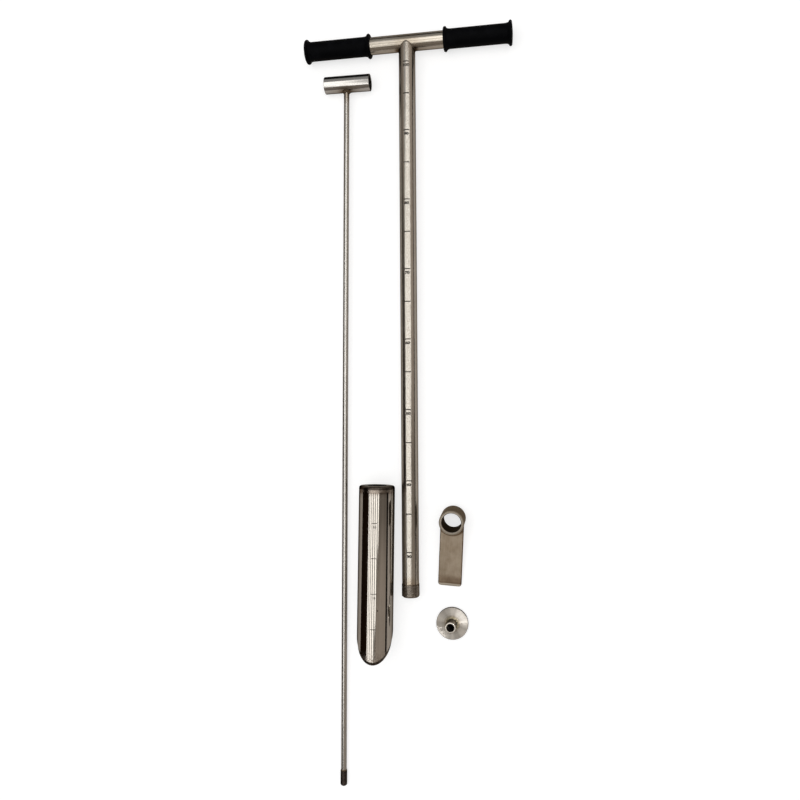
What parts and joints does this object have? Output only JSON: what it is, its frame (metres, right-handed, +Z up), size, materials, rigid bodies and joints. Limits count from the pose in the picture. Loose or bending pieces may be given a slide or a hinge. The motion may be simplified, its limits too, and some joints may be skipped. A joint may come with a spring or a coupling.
{
  "type": "soil sampler probe",
  "caption": "Hand soil sampler laid out in pieces: graduated T-handle tube with rubber grips, push rod, bevelled sampling tube, foot pedal and screw-on piston disc.",
  "frame": {"origin": "on the floor, at the middle of the area that the laid-out kit covers", "axes": "+Y along the main tube towards the T-handle, +X along the crossbar, +Z up from the floor"},
  "size_m": [0.304, 1.084, 0.0508],
  "materials": {
    "tube_steel": "satin polished",
    "rod_steel": "drawn bar",
    "thread_steel": "oiled thread",
    "weld": "heat-tinted bead",
    "grip_rubber": "moulded, matte",
    "polished_steel": "polished",
    "turned_steel": "turned",
    "plate_steel": "mill finish"
  },
  "bodies": {
    "handle": {"main_tube": "tube_steel", "crossbar": "tube_steel", "tee_weld": "weld", "left_grip": "grip_rubber", "right_grip": "grip_rubber", "threaded_nipple": "thread_steel", "nipple_weld": "weld"},
    "push_rod": {"push_rod": "rod_steel", "push_handle": "tube_steel", "push_handle_weld": "weld", "push_rod_tip": "thread_steel", "tip_weld": "weld"},
    "sampling_tube": {"barrel": "polished_steel", "barrel_head": "turned_steel", "head_weld": "polished_steel"},
    "foot_pedal": {"pedal_collar": "plate_steel", "pedal_plate": "plate_steel", "pedal_weld": "weld"},
    "piston": {"piston_disc": "turned_steel", "piston_boss": "turned_steel", "piston_weld": "weld"}
  },
  "joints": [
    {"name": "push_rod_stroke", "type": "slide", "parent": "handle", "child": "push_rod", "axis": [-0.0084, -1, 0], "range_m": [0, 0.17]},
    {"name": "sampling_tube_draw", "type": "slide", "parent": "handle", "child": "sampling_tube", "axis": [-0.0188, -0.9998, 0], "range_m": [0, 0.018]},
    {"name": "pedal_slide", "type": "slide", "parent": "handle", "child": "foot_pedal", "axis": [-0.011, -0.1657, 0.9861], "range_m": [0, 0.15]},
    {"name": "piston_spin", "type": "hinge", "parent": "handle", "child": "piston", "pos_m": [0.0575, -0.30838, 0], "axis": [0, 0, 1], "continuous": true}
  ]
}
